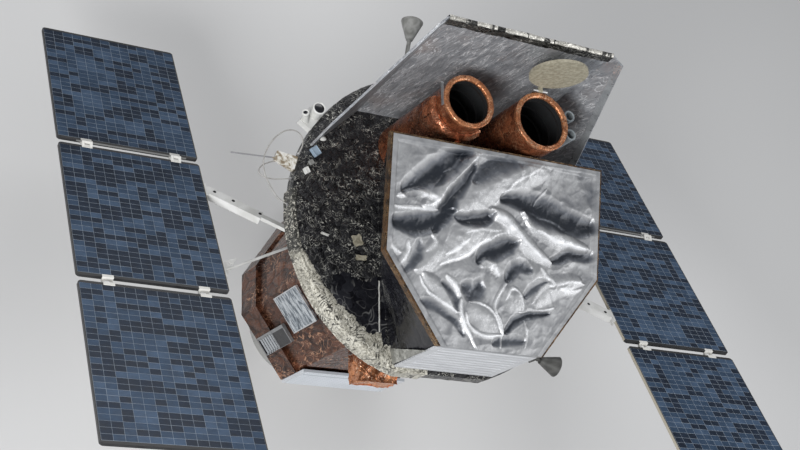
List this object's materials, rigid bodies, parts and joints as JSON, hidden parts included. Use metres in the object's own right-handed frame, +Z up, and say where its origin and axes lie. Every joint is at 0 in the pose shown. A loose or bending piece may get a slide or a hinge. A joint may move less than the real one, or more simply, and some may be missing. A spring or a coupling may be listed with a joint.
{
  "type": "space observatory satellite",
  "caption": "Gamma-ray astronomy satellite on its launch adapter, with a tilted coded mask, telescope tubes, a sunshade and folding solar wings on rotary drives.",
  "frame": {"origin": "centre of the launch adapter ring's bolt circle, in the ring's lower face", "axes": "+Z up, the way the telescopes look, normal to the adapter ring; +X along the span of the solar wings, to the wing on the right as the coded mask is seen from its radiator side; +Y towards the sunshade, away from the mask's radiator"},
  "size_m": [5.4, 3.5556, 3.8876],
  "materials": {
    "adapter_metal": "satin",
    "bus_foil": "crinkled film",
    "deck_foil": "crinkled film",
    "mask_blanket": "soft folded film",
    "mask_tape": "satin",
    "shield_film": "gloss",
    "radiator_white": "matt",
    "radiator_silver": "mirror",
    "copper_foil": "crinkled film",
    "bright_foil": "crinkled film",
    "shade_foil": "crinkled film",
    "flange_metal": "satin",
    "louvre_metal": "satin",
    "door_beige": "matt",
    "grey_metal": "satin",
    "white_paint": "satin",
    "cable_jacket": "satin jacket",
    "solar_cells": "glossy cells with a black back"
  },
  "bodies": {
    "satellite": {"adapter_ring": "adapter_metal", "bus_body": "bus_foil", "bus_radiator": "radiator_white", "side_radiator_left": "radiator_silver", "side_radiator_right": "radiator_silver", "louvre_left": "louvre_metal", "louvre_right": "louvre_metal", "foil_box": "bright_foil", "deck_ring": "bus_foil", "instrument_deck": "deck_foil", "mask_rim": "mask_tape", "mask_panel": "mask_blanket", "mask_shield": "shield_film", "shield_radiator": "radiator_white", "telescope_tube_left": "copper_foil", "telescope_tube_right": "copper_foil", "tube_cowl": "copper_foil", "finder_pair": "grey_metal", "door_bracket": "grey_metal", "sunshade_back": "shade_foil", "sunshade_left": "shade_foil", "sunshade_right": "shade_foil", "sunshade_flange_left": "flange_metal", "sunshade_flange_right": "flange_metal", "horn_upper": "grey_metal", "horn_lower": "grey_metal", "rod_antenna": "grey_metal", "star_trackers": "white_paint", "coax_long": "cable_jacket", "coax_short": "cable_jacket", "wing_drive_left": "grey_metal", "wing_drive_right": "grey_metal"},
    "wing_left": {"wing_hub_left": "white_paint", "yoke_arm_left": "white_paint", "yoke_strut_left": "white_paint", "panel_middle_left": "solar_cells"},
    "wing_left_upper": {"panel_upper_left": "solar_cells"},
    "wing_left_lower": {"panel_lower_left": "solar_cells"},
    "wing_right": {"wing_hub_right": "white_paint", "yoke_arm_right": "white_paint", "yoke_strut_right": "white_paint", "panel_middle_right": "solar_cells"},
    "wing_right_upper": {"panel_upper_right": "solar_cells"},
    "wing_right_lower": {"panel_lower_right": "solar_cells"},
    "door": {"telescope_door": "door_beige"}
  },
  "joints": [
    {"name": "array_drive_left", "type": "hinge", "parent": "satellite", "child": "wing_left", "pos_m": [-0.875, 0, 2.15], "axis": [1, 0, 0], "range_deg": [-180, 180]},
    {"name": "panel_fold_upper_left", "type": "hinge", "parent": "wing_left", "child": "wing_left_upper", "pos_m": [-2.163, 0.60987, 1.83938], "axis": [1, 0, 0], "range_deg": [0, 180]},
    {"name": "panel_fold_lower_left", "type": "hinge", "parent": "wing_left", "child": "wing_left_lower", "pos_m": [-2.163, -0.60987, 2.46062], "axis": [1, 0, 0], "range_deg": [0, 180]},
    {"name": "array_drive_right", "type": "hinge", "parent": "satellite", "child": "wing_right", "pos_m": [0.875, 0, 2.15], "axis": [1, 0, 0], "range_deg": [-180, 180]},
    {"name": "panel_fold_upper_right", "type": "hinge", "parent": "wing_right", "child": "wing_right_upper", "pos_m": [2.163, 0.60987, 1.83938], "axis": [1, 0, 0], "range_deg": [0, 180]},
    {"name": "panel_fold_lower_right", "type": "hinge", "parent": "wing_right", "child": "wing_right_lower", "pos_m": [2.163, -0.60987, 2.46062], "axis": [1, 0, 0], "range_deg": [0, 180]},
    {"name": "telescope_door_hinge", "type": "hinge", "parent": "satellite", "child": "door", "pos_m": [0.297, 0.895, 3.442], "axis": [1, 0, 0], "range_deg": [0, 91]}
  ]
}
